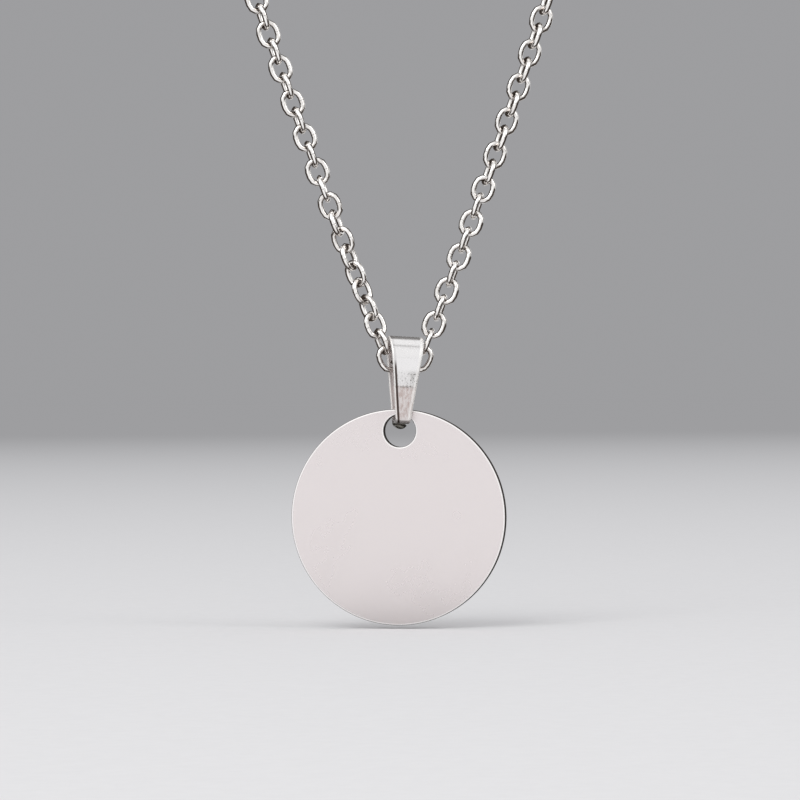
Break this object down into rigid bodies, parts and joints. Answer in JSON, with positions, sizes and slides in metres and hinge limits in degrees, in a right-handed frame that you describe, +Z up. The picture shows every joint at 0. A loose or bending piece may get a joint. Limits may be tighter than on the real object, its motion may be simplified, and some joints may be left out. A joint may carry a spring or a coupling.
{
  "type": "circle pendant necklace",
  "caption": "Round polished steel disc pendant with a hole near its top, hung by a folded strip bail from a closed loop of fine oval cable chain with a barrel clasp.",
  "frame": {"origin": "under the middle of the barrel clasp, at the top of the loop, where the necklace lies on the back of the neck or hangs on a hook", "axes": "+Z up, -Y the front, and the chain's loop in the XZ plane with +X to the right seen from the front"},
  "size_m": [0.084, 0.0069, 0.1949],
  "materials": {
    "disc": "polished",
    "bail": "polished",
    "chain": "polished",
    "clasp": "polished"
  },
  "bodies": {
    "necklace": {"chain_left": "chain", "chain_right": "chain", "clasp": "clasp"},
    "bail": {"bail": "bail"},
    "disc": {"disc": "disc"}
  },
  "joints": [
    {"name": "bail_swing", "type": "hinge", "parent": "necklace", "child": "bail", "pos_m": [-0.00006, 0, -0.16762], "axis": [0.9982, 0, -0.0593], "range_deg": [-90, 90]},
    {"name": "disc_turn", "type": "hinge", "parent": "bail", "child": "disc", "pos_m": [-0.00046, 0, -0.17435], "axis": [-0.2924, -0.9563, 0], "range_deg": [-60, 60]}
  ]
}
